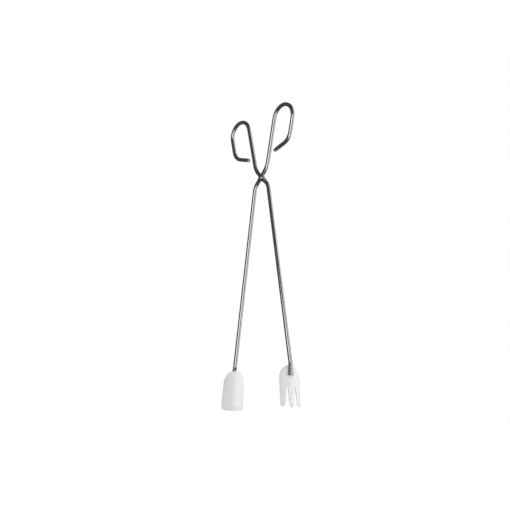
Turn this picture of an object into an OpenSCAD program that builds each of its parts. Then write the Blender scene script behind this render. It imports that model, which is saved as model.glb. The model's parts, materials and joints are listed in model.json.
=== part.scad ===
// Scissor tongs bent from round wire. Two mirror-image arms cross at a rivet. Each arm has an open
// finger loop at the top, a long straight leg and a stamped sheet head: one a spatula, one a fork.
//
// +Z points up to the finger loops, the arms open along X, and the rivet lies along Y.
// The spatula's arm passes in front, on the -Y side. Its finger loop is on the right, its head on the left.
// The origin is the centre of the right finger loop's round top.

/* [Wire] */
// Diameter of the round wire
wire_d = 5; // [4.7:0.1:5.3]
// Angle from the vertical at which each wire crosses the rivet
cross_angle = 46; // [44:1:48]
// Angle of each handle's long side from the vertical
handle_angle = 13.5; // [12:0.5:15]
// Angle of each leg from the vertical
leg_angle = 10; // [9:0.5:11]

/* [Handles] */
// Straight wire between the rivet and the bend above it
cross_up = 10.2; // [9.7:0.1:11]
// Radius of the bend above the crossing
upper_bend_r = 26; // [20:1:30]
// Length of the handle's long straight side
handle_len = 55.5; // [52:0.1:62]
// Radius of the round top of the finger loop
loop_r = 17.8; // [16:0.2:19]
// Straight outer side of the finger loop
outer_len = 17.4; // [15:0.2:20]
// Radius of the bend below the outer side
outer_bend_r = 17.6; // [16:0.2:19]
// Turn of that bend
outer_turn = 60.5; // [57:0.5:66]
// Straight tail that points back at the handle
tail_len = 19.5; // [15:0.5:22]

/* [Legs] */
// Straight wire between the rivet and the bend below it
cross_down = 9.7; // [9.7:0.1:11]
// Radius of the bend below the crossing
lower_bend_r = 18; // [14:0.5:22]
// Length of the straight leg
leg_len = 232.2; // [200:0.2:240]

/* [Pivot] */
// Thickness of the flattened wire at the rivet
eye_t = 2.6; // [2.3:0.1:2.9]
// Width of the flattened wire at the rivet
eye_w = 7.4; // [7:0.2:8]
// Gap between the two flattened wires, and between the rear one and the rivet's head
eye_gap = 0.1; // [0.06:0.02:0.14]
// Diameter of the rivet's shank
rivet_d = 3.2; // [2.8:0.1:3.4]
// Radial clearance of the shank in the arm that turns on it
rivet_clearance = 0.05; // [0.02:0.01:0.08]
// Diameter of the rivet's heads
rivet_head_d = 6.2; // [5.8:0.2:6.6]
// Height of the rivet's domed front head
rivet_front_h = 1.5; // [1.2:0.1:1.8]
// Height of the rivet's flatter rear head
rivet_rear_h = 1.1; // [0.8:0.1:1.4]

/* [Heads] */
// Thickness of the heads' sheet
sheet_t = 1.2; // [1:0.1:1.5]
// Lean of each head from the vertical, down and out
head_lean = 4.2; // [3:0.2:5]
// Radius of the back of each head, which is curved across its width
cup_r = 50; // [45:1:60]
// Width of the spatula at its lower edge
spatula_w = 35; // [33:0.5:36]
// Width of the spatula where its arch ends
spatula_neck_w = 32.4; // [31:0.2:33.6]
// Height of the spatula
spatula_h = 51.8; // [48:0.2:54]
// Height of the spatula's arch
spatula_arch_h = 20; // [17:0.5:22]
// Depth to which the top of the arch is cut off flat
spatula_flat_h = 2.2; // [1:0.2:4]
// Height of the lip along the spatula's lower edge
lip_h = 7; // [5:0.5:9]
// Angle by which the lip is bent outwards
lip_angle = 8; // [4:1:12]
// Width of the fork
fork_w = 32; // [31:0.5:33]
// Height of the fork, to the tip of its middle tine
fork_h = 51.3; // [48:0.1:54]
// Height of the fork's crown
fork_arch_h = 17.5; // [16:0.5:19]

/* [Welded tabs] */
// Length of the flattened tab at the end of each wire
tab_len = 13; // [11:0.5:14]
// Width of the tab at its cut end
tab_w = 8.6; // [7.6:0.2:9]
// Thickness of the tab
tab_t = 2.2; // [2:0.1:2.4]

/* [Hidden] */
$fn = 64;

// Each wire's centre lies this far from the plane between the arms
arm_y = (eye_t + eye_gap) / 2;
// Distance from the rivet at which the flattened wire is round again, and at which it begins to thicken
eye_round = 9.6;
eye_flat = eye_round * 2 / 3;
// Length over which the round wire flattens into the tab, and the bevel on the tab's cut end
tab_taper = 5;
tab_bevel = 0.4;
// Depth by which the tab is bedded on the curved sheet
tab_bed = 0.2;
// Cross sections: sides of the wire, and how square a round and a flattened section are
wire_sides = 24;
round_section = 2;
flat_section = 5;
// Largest turn between two sections of a bend
bend_step = 9;
// Bevel on the tail's cut end
tail_bevel = 0.7;
// Room below each foot for the head
head_room = 70;
// How far each side of the spatula's fold runs on past it, so that they join
fold_overlap = 0.1;
// Which side of its sheet each head is hollow on: 1 inside the jaws, -1 outside them
fork_hollow = 1;
spatula_hollow = -1;

// A point along a heading, measured from +Z towards +X
function heading(a) = [sin(a), 0, cos(a)];
function ahead(p, a, len) = p + len * heading(a);
// The point reached by a bend of radius r from heading a to heading b
function round_bend(p, a, b, r) = p + sign(b - a) * r * (heading(a + 90) - heading(b + 90));

// Places on the spatula's arm, with the rivet at the origin. The wire runs up from the foot to the tail.
lower_bend = ahead([0, 0, 0], cross_angle, -cross_down);
leg_top = round_bend(lower_bend, cross_angle, leg_angle, -lower_bend_r);
foot = ahead(leg_top, leg_angle, -leg_len);
upper_bend = ahead([0, 0, 0], cross_angle, cross_up);
handle_start = round_bend(upper_bend, cross_angle, handle_angle, upper_bend_r);
handle_end = ahead(handle_start, handle_angle, handle_len);
loop_centre = ahead(handle_end, handle_angle + 90, loop_r);
outer_angle = handle_angle + 180;
outer_start = ahead(loop_centre, handle_angle + 90, loop_r);
outer_end = ahead(outer_start, outer_angle, outer_len);
tail_angle = outer_angle + outer_turn;
tail_start = round_bend(outer_end, outer_angle, tail_angle, outer_bend_r);
tail_end = ahead(tail_start, tail_angle, tail_len);

// Everything is drawn round the rivet and moved so that the loop's centre is the origin
module from_rivet() {
    translate(-loop_centre) children();
}

// A cylinder along Y
module y_cylinder(r, h, y = 0) {
    translate([0, y, 0]) rotate([90, 0, 0]) cylinder(r = r, h = h, center = true);
}

// A section of the wire: its centre, its heading, its half sizes across the plane of the arm and
// along Y, and how square it is
function round_wire(p, a, r = wire_d / 2) = [p, a, r, r, round_section];
function bend_sections(p, a, b, r) =
    let (steps = ceil(abs(b - a) / bend_step))
    [for (i = [0:steps]) let (h = a + (b - a) * i / steps) round_wire(round_bend(p, a, h, r), h)];
function mix(a, b, f) = a + (b - a) * f;
// The flattened eye at a distance s from the rivet. It draws in all the way and thickens near its ends.
function eye_section(s) =
    let (drawn_in = pow(s / eye_round, 2), thickened = max(0, (abs(s) - eye_flat) / (eye_round - eye_flat)))
    [ahead([0, 0, 0], cross_angle, s), cross_angle, mix(eye_w, wire_d, drawn_in) / 2,
     mix(eye_t, wire_d, thickened) / 2, mix(flat_section, round_section, thickened)];
// The tab at a distance s up the leg. It is flat below the foot and spreads towards its cut end.
function tab_section(s, cut_in = 0) =
    let (flat = min(1, 1 - s / tab_taper), spread = pow((tab_taper - s) / (tab_taper + tab_len), 1.4))
    [ahead(foot, s > 0 ? leg_angle : head_lean, s), mix(leg_angle, head_lean, flat),
     mix(wire_d / 2, tab_t / 2 + tab_bed, flat) - cut_in, mix(wire_d, tab_w, spread) / 2 - cut_in,
     mix(round_section, flat_section, flat)];

arm_sections = concat(
    [tab_section(-tab_len, tab_bevel)],
    [for (i = [0:4]) tab_section(mix(tab_bevel - tab_len, 0, i / 4))],
    [for (i = [1:4]) tab_section(tab_taper * i / 4)],
    bend_sections(leg_top, leg_angle, cross_angle, lower_bend_r),
    [for (i = [-6:6]) eye_section(eye_round * i / 6)],
    bend_sections(upper_bend, cross_angle, handle_angle, upper_bend_r),
    bend_sections(handle_end, handle_angle, outer_angle, loop_r),
    bend_sections(outer_end, outer_angle, tail_angle, outer_bend_r),
    [round_wire(ahead(tail_end, tail_angle, -tail_bevel), tail_angle),
     round_wire(tail_end, tail_angle, wire_d / 2 - tail_bevel)]
);

// A coordinate of a section's outline
function squared(x, half, squareness) = half * sign(x) * pow(abs(x), 2 / squareness);
function ring(s) =
    [for (i = [0:wire_sides - 1]) let (a = 360 * i / wire_sides)
        s[0] + squared(cos(a), s[2], s[4]) * heading(s[1] + 90) + [0, squared(sin(a), s[3], s[4]), 0]];

// One solid swept through a list of sections
module sweep(sections) {
    last = len(sections) - 1;
    n = wire_sides;
    polyhedron(
        points = [for (s = sections) each ring(s)],
        faces = concat(
            [[for (i = [0:n - 1]) i]],
            [for (k = [0:last - 1], i = [0:n - 1]) let (j = (i + 1) % n)
                [k * n + i, (k + 1) * n + i, (k + 1) * n + j, k * n + j]],
            [[for (i = [n - 1:-1:0]) last * n + i]]
        )
    );
}

// Both arms: handle to the right, leg to the left, wire centre at y = 0, rivet at the origin
module arm(bore_r, hollow_side) {
    difference() {
        sweep(arm_sections);
        y_cylinder(bore_r, 2 * wire_d);
        at_foot() in_front_of_back(hollow_side);
    }
}

// The frame of a head on the left arm: Z up along the head from the foot, +X inwards
module at_foot() {
    translate(foot) rotate([0, head_lean, 0]) children();
}

// Along the head's own height, round the axis of its curve, which lies on the inner side, 1, or the
// outer side, -1
module round_cup_axis(hollow_side, r) {
    translate([tab_t / 2 + hollow_side * cup_r, 0, -head_room]) cylinder(r = r, h = head_room, $fn = 120);
}

// The space on the inner side of the head's back, where the wire's tab ends
module in_front_of_back(hollow_side) {
    if (hollow_side > 0) {
        round_cup_axis(hollow_side, cup_r);
    } else {
        difference() {
            translate([0, -tab_w, -head_room]) cube([wire_d, 2 * tab_w, head_room]);
            round_cup_axis(hollow_side, cup_r);
        }
    }
}

// The curved sheet that a head is cut from
module cupped_sheet(hollow_side) {
    outer_r = hollow_side > 0 ? cup_r : cup_r + sheet_t;
    difference() {
        round_cup_axis(hollow_side, outer_r);
        round_cup_axis(hollow_side, outer_r - sheet_t);
    }
}

// A head is cut from its sheet to a flat outline, in y and z
module cut_head() {
    intersection() {
        children(0);
        rotate([90, 0, 90]) linear_extrude(height = 20, center = true) children(1);
    }
}

// The space on the cup's convex side above the plane z = 0, 1, or below it, -1
module half_space(side) {
    translate([cup_r / 2, -spatula_w, side > 0 ? -fold_overlap : fold_overlap - head_room])
        cube([cup_r, 2 * spatula_w, head_room]);
}

// The spatula's sheet is folded outwards along its lip. Its two sides meet on the plane between them.
module folded_sheet() {
    fold = [tab_t / 2 - cup_r, 0, lip_h - spatula_h + cup_r * tan(lip_angle / 2)];
    intersection() {
        cupped_sheet(spatula_hollow);
        translate(fold) rotate([0, lip_angle / 2, 0]) half_space(1);
    }
    intersection() {
        translate(fold) rotate([0, lip_angle, 0]) translate(-fold) cupped_sheet(spatula_hollow);
        translate(fold) rotate([0, lip_angle / 2, 0]) half_space(-1);
    }
}

// Points on an ellipse
function ellipse_arc(c, rx, ry, from, to, steps) =
    [for (i = [0:steps]) let (a = from + (to - from) * i / steps) c + [rx * cos(a), ry * sin(a)]];

// Arched shoulders, flat top, flaring sides and a lower edge with round corners
module spatula_outline() {
    corner_r = 5;
    half = spatula_w / 2;
    arch = [0, -spatula_arch_h];
    flat_angle = asin(1 - spatula_flat_h / spatula_arch_h);
    polygon(concat(
        ellipse_arc(arch, spatula_neck_w / 2, spatula_arch_h, 0, flat_angle, 12),
        ellipse_arc(arch, spatula_neck_w / 2, spatula_arch_h, 180 - flat_angle, 180, 12),
        ellipse_arc([corner_r - half, corner_r - spatula_h], corner_r, corner_r, 180, 270, 6),
        ellipse_arc([half - corner_r, corner_r - spatula_h], corner_r, corner_r, 270, 360, 6)
    ));
}

// Arched crown, parallel sides and three tapered tines with round tips
module fork_outline() {
    // Middle of each slot, its half width at the root and the height of the crown above it
    slot_y = 6;
    slot_half = 0.7;
    slot_top = 25.4;
    // Half width of a tine's round tip, and how much shorter the outer tines are
    tip_r = 3.2;
    outer_short = 1.5;
    // Middle of an outer tine's tip
    tip_y = fork_w / 2 - tip_r;
    middle_tip = tip_r - fork_h;
    outer_tip = middle_tip + outer_short;
    right_half = concat(
        ellipse_arc([0, -fork_arch_h], fork_w / 2, fork_arch_h, 90, 0, 15),
        ellipse_arc([tip_y, outer_tip], tip_r, tip_r, 0, -180, 8),
        ellipse_arc([slot_y, -slot_top - slot_half], slot_half, slot_half, 0, 180, 8),
        ellipse_arc([0, middle_tip], tip_r, tip_r, 0, -90, 5)
    );
    count = len(right_half);
    polygon(concat(right_half, [for (i = [count - 2:-1:1]) [-right_half[i][0], right_half[i][1]]]));
}

module spatula_arm() {
    color("silver") from_rivet() translate([0, -arm_y, 0]) arm(rivet_d / 2, spatula_hollow);
}

module fork_arm() {
    color("silver") from_rivet() translate([0, arm_y, 0]) mirror([1, 0, 0])
        arm(rivet_d / 2 + rivet_clearance, fork_hollow);
}

module spatula_head() {
    color("gainsboro") from_rivet() translate([0, -arm_y, 0]) at_foot() cut_head() {
        folded_sheet();
        spatula_outline();
    }
}

module fork_head() {
    color("gainsboro") from_rivet() translate([0, arm_y, 0]) mirror([1, 0, 0]) at_foot() cut_head() {
        cupped_sheet(fork_hollow);
        fork_outline();
    }
}

// A round head of height h and diameter d, domed towards -Y, with its flat side at y = 0
module domed_head(d, h) {
    dome_r = (pow(d / 2, 2) + pow(h, 2)) / (2 * h);
    intersection() {
        translate([0, dome_r - h, 0]) sphere(r = dome_r);
        y_cylinder(d / 2, 2 * h, -h);
    }
}

// Tight in the spatula's arm, with running clearance in the fork's arm. The shank runs into both heads.
module pivot_rivet() {
    front = -arm_y - eye_t / 2;
    rear = arm_y + eye_t / 2 + eye_gap;
    color("lightgrey") from_rivet() {
        y_cylinder(rivet_d / 2, rear - front + rivet_rear_h, (front + rear) / 2);
        translate([0, front, 0]) domed_head(rivet_head_d, rivet_front_h);
        translate([0, rear, 0]) mirror([0, 1, 0]) domed_head(rivet_head_d, rivet_rear_h);
    }
}

spatula_arm();
fork_arm();
spatula_head();
fork_head();
pivot_rivet();
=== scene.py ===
"""Wire scissor tongs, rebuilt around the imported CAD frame. Everything is in metres, in the row frame."""
import json
import math

import bmesh
import bpy
import numpy as np
from mathutils import Matrix, Vector
from mathutils.geometry import delaunay_2d_cdt


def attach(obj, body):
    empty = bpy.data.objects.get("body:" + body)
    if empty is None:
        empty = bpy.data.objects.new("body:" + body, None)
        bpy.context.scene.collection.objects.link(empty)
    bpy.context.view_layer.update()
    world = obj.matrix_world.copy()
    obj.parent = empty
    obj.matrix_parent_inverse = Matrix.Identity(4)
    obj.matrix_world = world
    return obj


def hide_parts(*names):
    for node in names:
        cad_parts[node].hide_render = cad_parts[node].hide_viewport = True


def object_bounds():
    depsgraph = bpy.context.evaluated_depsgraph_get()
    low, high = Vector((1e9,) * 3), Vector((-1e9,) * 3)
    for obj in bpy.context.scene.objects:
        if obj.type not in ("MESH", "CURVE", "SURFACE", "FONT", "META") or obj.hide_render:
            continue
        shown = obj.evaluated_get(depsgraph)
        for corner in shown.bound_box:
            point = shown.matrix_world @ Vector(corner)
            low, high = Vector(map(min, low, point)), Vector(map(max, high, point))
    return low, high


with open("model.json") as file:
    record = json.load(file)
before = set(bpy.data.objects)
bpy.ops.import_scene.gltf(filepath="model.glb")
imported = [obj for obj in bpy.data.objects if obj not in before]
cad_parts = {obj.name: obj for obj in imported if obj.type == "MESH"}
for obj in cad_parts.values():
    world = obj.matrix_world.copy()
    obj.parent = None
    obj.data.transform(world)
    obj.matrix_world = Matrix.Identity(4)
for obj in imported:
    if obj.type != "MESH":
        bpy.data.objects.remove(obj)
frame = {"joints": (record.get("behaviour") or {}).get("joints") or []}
cad_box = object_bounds()

MM = 0.001

# Wire, the same driving sizes as the CAD model
WIRE_D = 5 * MM
CROSS_ANGLE = 46
HANDLE_ANGLE = 13.5
LEG_ANGLE = 10
CROSS_UP = 10.2 * MM
UPPER_BEND_R = 26 * MM
HANDLE_LEN = 55.5 * MM
LOOP_R = 17.8 * MM
OUTER_LEN = 17.4 * MM
OUTER_BEND_R = 17.6 * MM
OUTER_TURN = 60.5
TAIL_LEN = 19.5 * MM
TAIL_BEVEL = 0.7 * MM
CROSS_DOWN = 9.7 * MM
LOWER_BEND_R = 18 * MM
LEG_LEN = 232.2 * MM

# Flattened eye at the rivet, and the rivet
EYE_T = 2.6 * MM
EYE_W = 7.4 * MM
EYE_GAP = 0.1 * MM
EYE_ROUND = 9.6 * MM
RIVET_D = 3.2 * MM
RIVET_CLEARANCE = 0.05 * MM
RIVET_HEAD_D = 6.2 * MM
RIVET_FRONT_H = 1.5 * MM
RIVET_REAR_H = 1.1 * MM

# Flattened tab at each foot, welded to the back of a head
TAB_LEN = 13 * MM
TAB_W = 8.6 * MM
TAB_T = 2.2 * MM
TAB_TAPER = 5 * MM
TAB_BED = 0.2 * MM
TAB_BEVEL = 0.5 * MM
TAB_CORNER = 0.9 * MM

# Sheet heads, and the even triangles that fill their faces inside the rolled edge
SHEET_T = 1.2 * MM
SHEET_EDGE_R = 0.42 * MM
SHEET_EDGE_MARGIN = 0.3 * MM
TRIANGLE = 0.8 * MM
HEAD_LEAN = 4.2
CUP_R = 50 * MM
SPATULA_W = 35 * MM
SPATULA_NECK_W = 32.4 * MM
SPATULA_H = 51.8 * MM
SPATULA_ARCH_H = 20 * MM
SPATULA_FLAT_H = 2.2 * MM
SPATULA_CORNER_R = 5 * MM
LIP_H = 7 * MM
LIP_ANGLE = 8
LIP_BEND_R = 8 * MM
FORK_W = 32 * MM
FORK_H = 51.3 * MM
FORK_ARCH_H = 17.5 * MM

# Where the lip would start on a head that has none: far below it
NO_LIP = -1.0

# Where the rivet is, and how far each wire's centre lies from the plane between the arms
PIVOT = Vector(frame["joints"][0]["pos_m"])
ARM_Y = (EYE_T + EYE_GAP) / 2


# ---------------------------------------------------------------- the wire's path, seen from the rivet
def heading(angle):
    """A direction in the arm's plane, measured from +Z towards +X, in degrees."""
    a = math.radians(angle)
    return Vector((math.sin(a), 0, math.cos(a)))


def round_bend(point, start, end, radius):
    """The point reached by a bend of that radius from heading start to heading end."""
    side = radius if end > start else -radius
    return point + side * (heading(start + 90) - heading(end + 90))


LOWER_BEND = -CROSS_DOWN * heading(CROSS_ANGLE)
LEG_TOP = round_bend(LOWER_BEND, CROSS_ANGLE, LEG_ANGLE, -LOWER_BEND_R)
FOOT = LEG_TOP - LEG_LEN * heading(LEG_ANGLE)
UPPER_BEND = CROSS_UP * heading(CROSS_ANGLE)
HANDLE_START = round_bend(UPPER_BEND, CROSS_ANGLE, HANDLE_ANGLE, UPPER_BEND_R)
HANDLE_END = HANDLE_START + HANDLE_LEN * heading(HANDLE_ANGLE)
OUTER_ANGLE = HANDLE_ANGLE + 180
OUTER_START = HANDLE_END + 2 * LOOP_R * heading(HANDLE_ANGLE + 90)
OUTER_END = OUTER_START + OUTER_LEN * heading(OUTER_ANGLE)
TAIL_ANGLE = OUTER_ANGLE + OUTER_TURN
TAIL_START = round_bend(OUTER_END, OUTER_ANGLE, TAIL_ANGLE, OUTER_BEND_R)
TAIL_END = TAIL_START + TAIL_LEN * heading(TAIL_ANGLE)


def mix(a, b, f):
    return a + (b - a) * f


def ease(f):
    """0 to 1 with a level start and end."""
    f = min(max(f, 0.0), 1.0)
    return f * f * (3 - 2 * f)


def quarter_turn(steps):
    """Angles from 0 to 90 degrees, in radians."""
    return [math.radians(90 * i / steps) for i in range(steps + 1)]


# A station of the wire: its centre, its heading, its half sizes across the arm's plane and along Y, and the
# radius of its corners. Round wire is all corner.
def round_wire(point, angle, radius=WIRE_D / 2):
    return point, angle, radius, radius, radius


def straight(start, end, angle, step=4 * MM):
    """Round wire between two points, without the stations at its ends."""
    count = max(1, round((end - start).length / step))
    return [round_wire(start.lerp(end, i / count), angle) for i in range(1, count)]


def bend(point, start, end, radius, step=2.0):
    """Round wire through a bend from heading start to heading end, with the stations at both ends."""
    count = math.ceil(abs(end - start) / step)
    turns = [mix(start, end, i / count) for i in range(count + 1)]
    return [round_wire(round_bend(point, start, a, radius), a) for a in turns]


def eye():
    """The forged flat at the rivet. It draws in all the way out, and thickens to round wire near its ends."""
    steps = 60
    flat_share = 0.62
    flat_corner = 0.8
    stations = []
    for i in range(steps + 1):
        s = mix(-EYE_ROUND, EYE_ROUND, i / steps)
        out = abs(s) / EYE_ROUND
        drawn_in = ease(out) ** 0.9
        thick = ease((out - flat_share) / (1 - flat_share))
        wide = mix(EYE_W, WIRE_D, drawn_in) / 2
        deep = mix(EYE_T, WIRE_D, thick) / 2
        corner = min(wide, deep) * mix(flat_corner, 1.0, thick)
        stations.append((s * heading(CROSS_ANGLE), CROSS_ANGLE, wide, deep, corner))
    return stations


def tab():
    """The flattened end of the wire, from its cut edge up to round wire. It spreads towards the cut."""
    steps = 36
    flat_below = -2 * MM
    back = TAB_T / 2 + TAB_BED
    stations = []
    for a in quarter_turn(4):
        shrink = TAB_BEVEL * (1 - math.sin(a))
        s = -TAB_LEN + TAB_BEVEL * (1 - math.cos(a))
        stations.append(tab_station(s, back - shrink, TAB_W / 2 - shrink, TAB_CORNER - shrink, 1.0))
    for i in range(1, steps + 1):
        s = mix(-TAB_LEN + TAB_BEVEL, TAB_TAPER, i / steps)
        flat = ease((TAB_TAPER - s) / (TAB_TAPER - flat_below))
        spread = max(0.0, (TAB_TAPER - s) / (TAB_TAPER + TAB_LEN)) ** 1.4
        thick = mix(WIRE_D / 2, back, flat)
        wide = mix(WIRE_D, TAB_W, spread) / 2
        stations.append(tab_station(s, thick, wide, mix(WIRE_D / 2, TAB_CORNER, flat), flat))
    return stations


def tab_station(s, thick, wide, corner, flat):
    """A station at a distance s up the leg from the foot. Below the foot the tab follows the head's lean."""
    angle = mix(LEG_ANGLE, HEAD_LEAN, flat)
    point = FOOT + s * heading(LEG_ANGLE if s > 0 else HEAD_LEAN)
    return point, angle, thick, wide, max(corner, 0.2 * MM)


def tail_end():
    """The tail's last stations, outwards to its cut, whose edge is rounded by tumbling."""
    stations = []
    for a in quarter_turn(5):
        point = TAIL_END - TAIL_BEVEL * (1 - math.sin(a)) * heading(TAIL_ANGLE)
        radius = WIRE_D / 2 - TAIL_BEVEL * (1 - math.cos(a))
        stations.append(round_wire(point, TAIL_ANGLE, radius))
    return stations


def arm_stations():
    """An arm from its foot to its tail, with the rivet at the origin and the wire's centre at y = 0."""
    leg_start = FOOT + TAB_TAPER * heading(LEG_ANGLE)
    return [
        *tab(),
        *straight(leg_start, LEG_TOP, LEG_ANGLE),
        *bend(LEG_TOP, LEG_ANGLE, CROSS_ANGLE, LOWER_BEND_R),
        *eye(),
        *bend(UPPER_BEND, CROSS_ANGLE, HANDLE_ANGLE, UPPER_BEND_R),
        *straight(HANDLE_START, HANDLE_END, HANDLE_ANGLE),
        *bend(HANDLE_END, HANDLE_ANGLE, OUTER_ANGLE, LOOP_R),
        *straight(OUTER_START, OUTER_END, OUTER_ANGLE),
        *bend(OUTER_END, OUTER_ANGLE, TAIL_ANGLE, OUTER_BEND_R),
        *straight(TAIL_START, TAIL_END - TAIL_BEVEL * heading(TAIL_ANGLE), TAIL_ANGLE),
        # Known fault: tail_end() already runs outwards, so this folds the cut end back into a rim
        *reversed(tail_end()),
    ]


# ---------------------------------------------------------------- meshes
def linked(name, data):
    """A new object in the scene."""
    made = bpy.data.objects.new(name, data)
    bpy.context.scene.collection.objects.link(made)
    return made


def new_piece(name, mesh_data, material, body, node):
    """A piece that stands for one CAD node and rides on its body."""
    mesh_data.name = name
    piece = linked(name, mesh_data)
    piece.data.materials.append(material)
    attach(piece, body)
    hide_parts(node)
    return piece


def place(side):
    """Carries an arm's own frame to the row frame: side -1 is the spatula's arm, and side 1 mirrors it."""
    return Matrix.Translation(PIVOT + Vector((0, side * ARM_Y, 0))) @ Matrix.Diagonal((-side, 1, 1, 1))


def skin(bm, rings):
    """Smooth faces from each ring to the next. A ring of one point is a pole."""
    sides = max(len(ring) for ring in rings)
    for low, high in zip(rings, rings[1:]):
        for i in range(sides):
            j = (i + 1) % sides
            corners = [low[i % len(low)], low[j % len(low)], high[j % len(high)], high[i % len(high)]]
            bm.faces.new(list(dict.fromkeys(corners))).smooth = True


def finished(bm):
    """The mesh data of a closed shape, with its faces turned outwards."""
    bmesh.ops.recalc_face_normals(bm, faces=bm.faces)
    data = bpy.data.meshes.new("piece")
    bm.to_mesh(data)
    bm.free()
    return data


def wire_mesh(stations, matrix, sides=64):
    """One smooth tube through the stations. Each point keeps how far along and round the wire it lies."""
    bm = bmesh.new()
    layer = bm.verts.layers.float_vector.new("wire")
    rings, along, last = [], 0.0, stations[0][0]
    for centre, angle, across, deep, corner in stations:
        along += (centre - last).length
        last = centre
        side = heading(angle + 90)
        ring = []
        for i in range(sides):
            a = math.tau * (i + 0.5) / sides
            c, s = math.cos(a), math.sin(a)
            x = math.copysign(across - corner, c) + corner * c
            y = math.copysign(deep - corner, s) + corner * s
            v = bm.verts.new(matrix @ (centre + x * side + Vector((0, y, 0))))
            v[layer] = Vector((c, s, along / WIRE_D))
            ring.append(v)
        rings.append(ring)
    skin(bm, rings)
    bm.faces.new(reversed(rings[0]))
    bm.faces.new(rings[-1])
    return finished(bm)


def lathe_mesh(profile, sides=72):
    """A closed solid of revolution about the rivet's axis. The profile is (radius, y) from pole to pole."""
    bm = bmesh.new()
    rings = []
    for radius, y in profile:
        angles = [math.tau * i / sides for i in range(sides)] if radius > 0 else [0.0]
        points = [Vector((radius * math.cos(a), y, radius * math.sin(a))) for a in angles]
        rings.append([bm.verts.new(PIVOT + point) for point in points])
    skin(bm, rings)
    return finished(bm)


def bore(piece, diameter):
    """Cuts the rivet's hole through a flattened eye."""
    r = diameter / 2
    cutter = linked("bore", lathe_mesh([(0, -WIRE_D), (r, -WIRE_D), (r, WIRE_D), (0, WIRE_D)]))
    cut = piece.modifiers.new("bore", "BOOLEAN")
    cut.operation, cut.solver, cut.object = "DIFFERENCE", "EXACT", cutter
    bpy.context.view_layer.update()
    made = bpy.data.meshes.new_from_object(piece.evaluated_get(bpy.context.evaluated_depsgraph_get()))
    piece.modifiers.clear()
    piece.data = made
    bpy.data.objects.remove(cutter)


# ---------------------------------------------------------------- sheet heads, in flat coordinates (y, z)
def arc(centre, rx, rz, start, end, steps):
    """Points on an ellipse, from angle start to angle end in degrees."""
    angles = [math.radians(mix(start, end, i / steps)) for i in range(steps + 1)]
    return [(centre[0] + rx * math.cos(a), centre[1] + rz * math.sin(a)) for a in angles]


def filled_in(points, step=TRIANGLE):
    """A closed outline with its long straight stretches divided."""
    made = []
    for (y0, z0), (y1, z1) in zip(points, points[1:] + points[:1]):
        length = math.hypot(y1 - y0, z1 - z0)
        count = max(1, round(length / step)) if length > 1e-7 else 0
        made += [(mix(y0, y1, i / count), mix(z0, z1, i / count)) for i in range(count)]
    return np.array(made)


def spatula_outline():
    """An arch with its top cut off flat, and flaring sides down to two rounded corners."""
    half, r = SPATULA_W / 2, SPATULA_CORNER_R
    arch = (0, -SPATULA_ARCH_H)
    flat_angle = math.degrees(math.asin(1 - SPATULA_FLAT_H / SPATULA_ARCH_H))
    return filled_in([
        *arc(arch, SPATULA_NECK_W / 2, SPATULA_ARCH_H, 0, flat_angle, 24),
        *arc(arch, SPATULA_NECK_W / 2, SPATULA_ARCH_H, 180 - flat_angle, 180, 24),
        *arc((r - half, r - SPATULA_H), r, r, 180, 270, 10),
        *arc((half - r, r - SPATULA_H), r, r, 270, 360, 10),
    ])


def fork_outline():
    """An arch with three tines. Its right half runs from the top to the middle tine's tip."""
    slot_y, slot_half, slot_top = 6 * MM, 0.7 * MM, 25.4 * MM
    tip_r, outer_short = 3.2 * MM, 1.5 * MM
    tip_y = FORK_W / 2 - tip_r
    middle_tip = tip_r - FORK_H
    right = [
        *arc((0, -FORK_ARCH_H), FORK_W / 2, FORK_ARCH_H, 90, 0, 32),
        *arc((tip_y, middle_tip + outer_short), tip_r, tip_r, 0, -180, 18),
        *arc((slot_y, -slot_top - slot_half), slot_half, slot_half, 0, 180, 14),
        *arc((0, middle_tip), tip_r, tip_r, 0, -90, 9),
    ]
    return filled_in((right + [(-y, z) for y, z in reversed(right[1:-1])])[::-1])


def inset(points, distance):
    """The outline drawn in by a distance, square to its edges."""
    before, after = np.roll(points, 1, 0), np.roll(points, -1, 0)
    along = (points - before) / np.linalg.norm(points - before, axis=1)[:, None]
    along += (after - points) / np.linalg.norm(after - points, axis=1)[:, None]
    along /= np.linalg.norm(along, axis=1)[:, None]
    inwards = np.stack([-along[:, 1], along[:, 0]], 1)
    return points + distance * inwards


def inside(points, polygon, margin=0.0):
    """Which points lie in the polygon, at least the margin away from its corners."""
    found = np.zeros(len(points), bool)
    for (y0, z0), (y1, z1) in zip(polygon, np.roll(polygon, -1, 0)):
        crosses = (z0 > points[:, 1]) != (z1 > points[:, 1])
        with np.errstate(divide="ignore", invalid="ignore"):
            at = y0 + (points[:, 1] - z0) * (y1 - y0) / (z1 - z0)
        found ^= crosses & (points[:, 0] < at)
    if margin:
        gaps = np.linalg.norm(points[:, None, :] - polygon[None, :, :], axis=2).min(1)
        found &= gaps > margin
    return found


def triangulated(outline, step=TRIANGLE):
    """Even triangles that fill an outline: the points, the outline's first, and the triangles."""
    low, high = outline.min(0), outline.max(0)
    grid = np.array([
        (y + (row % 2) * step / 2, z)
        for row, z in enumerate(np.arange(low[1], high[1], step * math.sqrt(3) / 2))
        for y in np.arange(low[0], high[0], step)
    ])
    points = np.vstack([outline, grid[inside(grid, outline, 0.55 * step)]])
    n = len(outline)
    edges = [(i, (i + 1) % n) for i in range(n)]
    found = delaunay_2d_cdt([Vector(p) for p in points], edges, [], 0, 1e-9)
    triangles = [t for t in found[2] if len(t) == 3]
    middles = np.array([points[list(t)].mean(0) for t in triangles])
    return points, [t for t, keep in zip(triangles, inside(middles, outline)) if keep]


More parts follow.
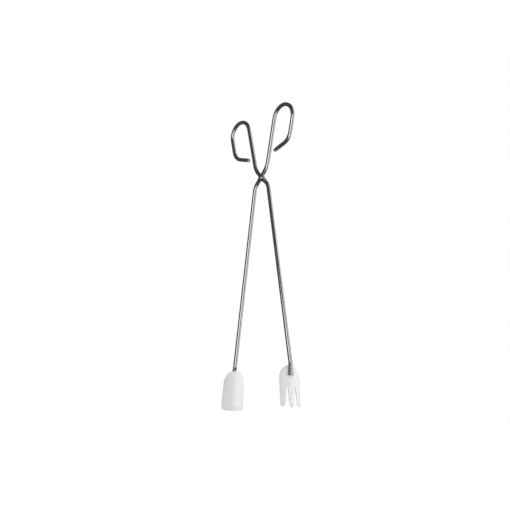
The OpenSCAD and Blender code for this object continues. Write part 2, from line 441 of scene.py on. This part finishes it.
def lip_line(z, lip_start):
    """How the spatula's centre line leaves the flat below lip_start: outward shift, height and tilt."""
    limit = math.radians(LIP_ANGLE)
    run = max(0.0, lip_start - z)
    turn = min(limit, run / LIP_BEND_R)
    on = max(0.0, run - limit * LIP_BEND_R)
    out = LIP_BEND_R * (1 - math.cos(turn)) + on * math.sin(turn)
    down = LIP_BEND_R * math.sin(turn) + on * math.cos(turn)
    return -out, z + run - down, turn


def head_point(y, z, t, hollow_side, lip_start):
    """Where a point of the flat sheet goes, from the foot, at a height t above the sheet's middle surface."""
    mid_r = CUP_R - hollow_side * SHEET_T / 2
    x_axis = TAB_T / 2 + hollow_side * CUP_R
    x = x_axis - hollow_side * math.sqrt(mid_r**2 - y**2)
    normal = Vector((hollow_side * (x_axis - x) / mid_r, -hollow_side * y / mid_r, 0))
    out, height, turn = lip_line(z, lip_start)
    tilt = Matrix.Rotation(turn, 3, "Y")
    return Vector((out, 0, height)) + tilt @ (Vector((x, y, 0)) + t * normal)


def head_mesh(outline, side, lip_start):
    """A stamped sheet with rolled edges, hollow towards -X, which is side * x in its arm's own frame."""
    matrix = place(side) @ Matrix.Translation(FOOT) @ Matrix.Rotation(math.radians(HEAD_LEAN), 4, "Y")
    half = SHEET_T / 2
    bm = bmesh.new()

    def ring_of(points, t):
        return [bm.verts.new(matrix @ head_point(y, z, t, side, lip_start)) for y, z in points]

    edge = []
    for a in reversed(quarter_turn(5)):
        edge.append((SHEET_EDGE_R * (1 - math.cos(a)), half - SHEET_EDGE_R * (1 - math.sin(a))))
    edge += [(e, -t) for e, t in reversed(edge)]
    rings = [ring_of(inset(outline, e), t) for e, t in edge]
    points, triangles = triangulated(inset(outline, SHEET_EDGE_R + SHEET_EDGE_MARGIN))
    faces = [ring_of(points, t) for t in (half, -half)]
    n = len(outline)
    skin(bm, [faces[0][:n], *rings, faces[1][:n]])
    for verts in faces:
        for a, b, c in triangles:
            bm.faces.new((verts[a], verts[b], verts[c])).smooth = True
    return finished(bm)


def rivet_profile():
    """Domed front head, shank and flatter peened rear head, as (radius, y) from front to rear."""
    front = -ARM_Y - EYE_T / 2
    rear = ARM_Y + EYE_T / 2 + EYE_GAP
    return [
        *dome(front, -1, RIVET_FRONT_H),
        (RIVET_D / 2, front),
        (RIVET_D / 2, rear),
        *reversed(dome(rear, 1, RIVET_REAR_H)),
    ]


def dome(base, side, height):
    """A rivet head from its pole down to the foot of its rounded rim."""
    steps = 14
    dome_share = 0.96
    rim = 0.3 * MM
    undercut = 0.12 * MM
    r = RIVET_HEAD_D / 2
    rise = height - rim
    ball = (r * r + rise * rise) / (2 * rise)
    limit = math.asin(r / ball)
    points = []
    for i in range(steps + 1):
        a = limit * i / steps * dome_share
        points.append((ball * math.sin(a), base + side * (height - ball * (1 - math.cos(a)))))
    return points + [(r, base + side * rim * 0.9), (r, base + side * rim * 0.35), (r - undercut, base)]


# ---------------------------------------------------------------- materials
def node_of(tree, kind, **values):
    node = tree.nodes.new(kind)
    for name, value in values.items():
        setattr(node, name, value)
    return node


def map_range(tree, value, low, high, to_low, to_high, **values):
    """The value, carried from the range low to high onto the range to_low to to_high."""
    node = node_of(tree, "ShaderNodeMapRange", **values)
    node.inputs["From Min"].default_value = low
    node.inputs["From Max"].default_value = high
    node.inputs["To Min"].default_value = to_low
    node.inputs["To Max"].default_value = to_high
    tree.links.new(value, node.inputs["Value"])
    return node.outputs["Result"]


def noise(tree, where, scale, detail):
    node = node_of(tree, "ShaderNodeTexNoise")
    node.inputs["Scale"].default_value = scale
    node.inputs["Detail"].default_value = detail
    tree.links.new(where, node.inputs["Vector"])
    return node.outputs["Fac"]


def bump(tree, height, strength, distance):
    node = node_of(tree, "ShaderNodeBump")
    node.inputs["Strength"].default_value = strength
    node.inputs["Distance"].default_value = distance
    tree.links.new(height, node.inputs["Height"])
    return node


def tab_painted_reflection(tree, colour, shade):
    """The wire's colour, drawn down to a painted dark reflection on its tab's front, in place of something
    dark the polished tab mirrors.
    """
    wire = node_of(tree, "ShaderNodeAttribute", attribute_name="wire")
    parts = node_of(tree, "ShaderNodeSeparateXYZ")
    tree.links.new(wire.outputs["Vector"], parts.inputs[0])
    fade = {"interpolation_type": "SMOOTHSTEP"}
    foot = (TAB_LEN - 1 * MM) / WIRE_D
    taper_end = (TAB_LEN + TAB_TAPER) / WIRE_D
    # The painted dark reflection is full on the tab's front (-Y) side and fades out towards its back
    across = map_range(tree, parts.outputs["Y"], -0.6, 0.35, 1.0, 0.0, **fade)
    up = map_range(tree, parts.outputs["Z"], foot, taper_end, 1.0, 0.0, **fade)
    both = node_of(tree, "ShaderNodeMath", operation="MULTIPLY")
    tree.links.new(across, both.inputs[0])
    tree.links.new(up, both.inputs[1])
    # A Mix node for colours has its factor at input 0, its colours at 6 and 7 and its result at output 2
    blend = node_of(tree, "ShaderNodeMix", data_type="RGBA")
    blend.inputs[6].default_value = (*colour, 1)
    blend.inputs[7].default_value = (*[c * shade for c in colour], 1)
    tree.links.new(both.outputs[0], blend.inputs[0])
    return blend.outputs[2]


def metal(name, colour, roughness, spread, grain, waviness, painted_reflection_level=1.0, metallic=1.0):
    """Bright plated metal. Its roughness varies in patches, and its surface has slow waves and fine grain."""
    made = bpy.data.materials.new(name)
    made.use_nodes = True
    tree = made.node_tree
    shader = tree.nodes["Principled BSDF"]
    shader.inputs["Base Color"].default_value = (*colour, 1)
    shader.inputs["Metallic"].default_value = metallic
    # Below 1, the base colour carries a painted dark reflection on the front of the wire's tab
    if painted_reflection_level < 1:
        tree.links.new(tab_painted_reflection(tree, colour, painted_reflection_level), shader.inputs["Base Color"])
    where = node_of(tree, "ShaderNodeTexCoord").outputs["Object"]
    patches = noise(tree, where, 55, 6)
    vary = map_range(tree, patches, 0.3, 0.7, roughness - spread, roughness + spread)
    tree.links.new(vary, shader.inputs["Roughness"])
    waves = bump(tree, noise(tree, where, 90, 2), waviness, 0.3 * MM)
    grains = bump(tree, noise(tree, where, 1500, 3), grain, 0.02 * MM)
    tree.links.new(waves.outputs["Normal"], grains.inputs["Normal"])
    tree.links.new(grains.outputs["Normal"], shader.inputs["Normal"])
    return made


# ---------------------------------------------------------------- stage, lights and camera
FLOOR_Z = -0.55
FLOOR_HALF = 12

# Where the camera is, seen from the rivet, how far its centre line passes from the rivet, and its lens in mm
CAMERA_AZIMUTH = 50.17
CAMERA_ELEVATION = -11.39
CAMERA_DEPTH = 1.249
AIM_RIGHT = 0.0085
AIM_UP = 0.1001
LENS = 67.84
SENSOR = 36


def towards(azimuth, elevation):
    """The direction of a place round the tongs. Azimuth 0 is the front, -Y, and it grows towards +X."""
    a, e = math.radians(azimuth), math.radians(elevation)
    return Vector((math.sin(a) * math.cos(e), -math.cos(a) * math.cos(e), math.sin(e)))


def add_camera():
    """Looks up at the tongs from the front right. Its centre line passes below the rivet."""
    back = towards(CAMERA_AZIMUTH, CAMERA_ELEVATION)
    right = towards(CAMERA_AZIMUTH + 90, 0)
    up = back.cross(right)
    data = bpy.data.cameras.new("camera")
    data.lens, data.sensor_width = LENS, SENSOR
    camera = linked("camera", data)
    camera.location = PIVOT + CAMERA_DEPTH * back - AIM_RIGHT * right - AIM_UP * up
    camera.rotation_mode = "QUATERNION"
    camera.rotation_quaternion = (-back).to_track_quat("-Z", "Y")
    bpy.context.scene.camera = camera


def add_floor():
    """A pale floor that the tongs don't mirror, and that lets the light of the low box through."""
    bm = bmesh.new()
    bmesh.ops.create_grid(bm, x_segments=8, y_segments=8, size=FLOOR_HALF)
    data = bpy.data.meshes.new("floor")
    bm.to_mesh(data)
    bm.free()
    floor = linked("floor", data)
    floor.location.z = FLOOR_Z
    floor.visible_glossy = False
    floor.visible_shadow = False
    paint = bpy.data.materials.new("pale_floor")
    paint.use_nodes = True
    shader = paint.node_tree.nodes["Principled BSDF"]
    shader.inputs["Base Color"].default_value = (0.9, 0.9, 0.9, 1)
    shader.inputs["Roughness"].default_value = 0.9
    data.materials.append(paint)


def soft_box(name, azimuth, elevation, distance, width, height, brightness):
    """A glowing panel that faces the tongs. Its energy grows with its area, so its glow is the brightness."""
    centre = (cad_box[0] + cad_box[1]) / 2
    back = towards(azimuth, elevation)
    data = bpy.data.lights.new(name, "AREA")
    data.shape, data.size, data.size_y = "RECTANGLE", width, height
    data.energy = 4 * width * height * brightness
    light = linked(name, data)
    light.location = centre + distance * back
    light.rotation_mode = "QUATERNION"
    light.rotation_quaternion = back.to_track_quat("Z", "Y")
    light.visible_camera = False


def add_sun():
    """Even light from above, which whitens the floor."""
    data = bpy.data.lights.new("ceiling", "SUN")
    data.energy, data.angle = 4.0, math.radians(70)
    linked("ceiling", data).visible_glossy = False


def add_world():
    """A white backdrop for the camera, and a dim room for what the metal reflects."""
    world = bpy.data.worlds.new("studio")
    world.use_nodes = True
    tree = world.node_tree
    room = tree.nodes["Background"]
    room.inputs["Color"].default_value = (0.07, 0.07, 0.07, 1)
    backdrop = node_of(tree, "ShaderNodeBackground")
    backdrop.inputs["Color"].default_value = (1, 1, 1, 1)
    seen = node_of(tree, "ShaderNodeLightPath")
    both = node_of(tree, "ShaderNodeMixShader")
    tree.links.new(seen.outputs["Is Camera Ray"], both.inputs[0])
    tree.links.new(room.outputs[0], both.inputs[1])
    tree.links.new(backdrop.outputs[0], both.inputs[2])
    tree.links.new(both.outputs[0], tree.nodes["World Output"].inputs["Surface"])
    bpy.context.scene.world = world


add_camera()
add_floor()
add_world()
add_sun()
# Azimuth and elevation in degrees, then distance, width and height in metres, and the brightness
soft_box("front_box", 34, -2, 2.2, 1.3, 1.8, 1.3)
soft_box("right_box", 106, -2, 2.0, 1.6, 2.0, 0.4)
soft_box("far_box", 152, 0, 2.0, 1.6, 2.0, 0.72)
soft_box("upper_box", 140, 40, 2.0, 2.4, 1.2, 0.4)
soft_box("low_box", 66, -42, 1.7, 1.3, 0.8, 0.75)
bpy.context.scene.view_settings.view_transform = "Standard"

# Colour, roughness and its spread, grain and waviness
# The wire's tab front carries a painted dark reflection, its colour drawn down to a quarter
chrome = metal("chrome_wire", (0.72, 0.725, 0.73), 0.13, 0.03, 0.12, 0.12, painted_reflection_level=0.25)
bright_sheet = metal("bright_sheet", (0.92, 0.92, 0.925), 0.42, 0.02, 0.1, 0.05, metallic=0.65)
rivet_metal = metal("rivet_steel", (0.78, 0.78, 0.79), 0.16, 0.05, 0.3, 0.3)

stations = arm_stations()
spatula_wire = new_piece("spatula_arm_wire", wire_mesh(stations, place(-1)),
                         chrome, "spatula_side", "spatula_arm")
bore(spatula_wire, RIVET_D)
fork_wire = new_piece("fork_arm_wire", wire_mesh(stations, place(1)),
                      chrome, "fork_side", "fork_arm")
bore(fork_wire, RIVET_D + 2 * RIVET_CLEARANCE)
new_piece("spatula_blade", head_mesh(spatula_outline(), -1, LIP_H - SPATULA_H),
          bright_sheet, "spatula_side", "spatula_head")
new_piece("fork_blade", head_mesh(fork_outline(), 1, NO_LIP),
          bright_sheet, "fork_side", "fork_head")
new_piece("rivet", lathe_mesh(rivet_profile()),
          rivet_metal, "spatula_side", "pivot_rivet")
